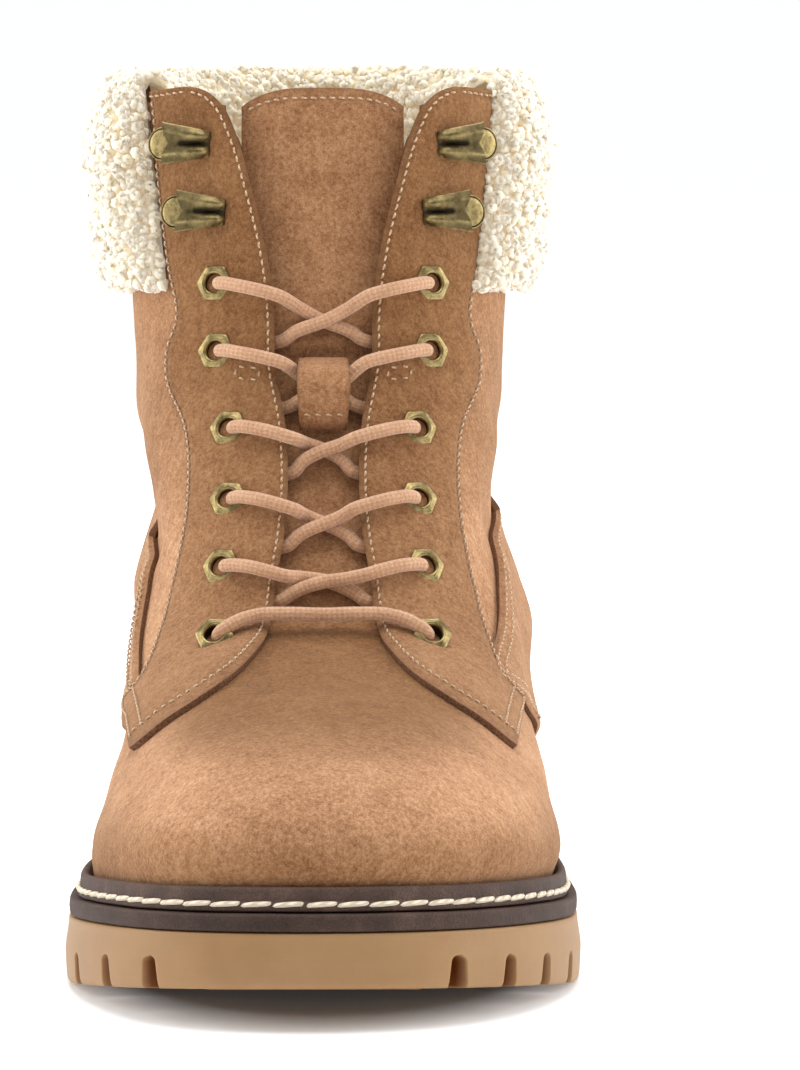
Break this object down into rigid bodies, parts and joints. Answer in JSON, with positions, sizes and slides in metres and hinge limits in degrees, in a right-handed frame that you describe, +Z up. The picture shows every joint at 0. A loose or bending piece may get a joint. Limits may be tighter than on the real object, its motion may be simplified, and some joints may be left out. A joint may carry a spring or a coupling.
{
  "type": "heeled ankle boot",
  "caption": "Left lace-up ankle boot with block heel, suede upper, fleece collar, brass eyelets and hooks, dark welt and lugged gum rubber sole.",
  "frame": {"origin": "on the floor, under the centre of the overall box: half-way between toe and heel and between the two sides", "axes": "+Z up, -Y towards the toe, +Y towards the heel, +X to the outer side of the left foot"},
  "size_m": [0.1052, 0.272, 0.1824],
  "materials": {
    "suede": "soft tan suede with a short nap",
    "fleece": "curly cream fleece",
    "gum_rubber": "smooth slightly translucent gum rubber",
    "welt_leather": "dark brown welt and midsole edge, matt",
    "insole_board": "plain lining leather",
    "antique_brass": "antique brass, dark in the recesses",
    "lace_cord": "round woven lace"
  },
  "bodies": {
    "root": {"eyelet_lateral_1": "antique_brass", "eyelet_lateral_2": "antique_brass", "eyelet_lateral_3": "antique_brass", "eyelet_lateral_4": "antique_brass", "eyelet_lateral_5": "antique_brass", "eyelet_lateral_6": "antique_brass", "eyelet_medial_1": "antique_brass", "eyelet_medial_2": "antique_brass", "eyelet_medial_3": "antique_brass", "eyelet_medial_4": "antique_brass", "eyelet_medial_5": "antique_brass", "eyelet_medial_6": "antique_brass", "facing_lateral": "suede", "facing_medial": "suede", "fleece_collar": "fleece", "hook_lateral_1": "antique_brass", "hook_lateral_2": "antique_brass", "hook_medial_1": "antique_brass", "hook_medial_2": "antique_brass", "insole": "insole_board", "lace_bar": "lace_cord", "lace_crossing_1": "lace_cord", "lace_crossing_2": "lace_cord", "lace_crossing_3": "lace_cord", "lace_crossing_4": "lace_cord", "lace_crossing_5": "lace_cord", "lace_keeper": "suede", "midsole": "welt_leather", "outsole": "gum_rubber", "quarter_overlay": "suede", "tongue": "suede", "upper": "suede", "welt": "welt_leather"}
  },
  "joints": []
}
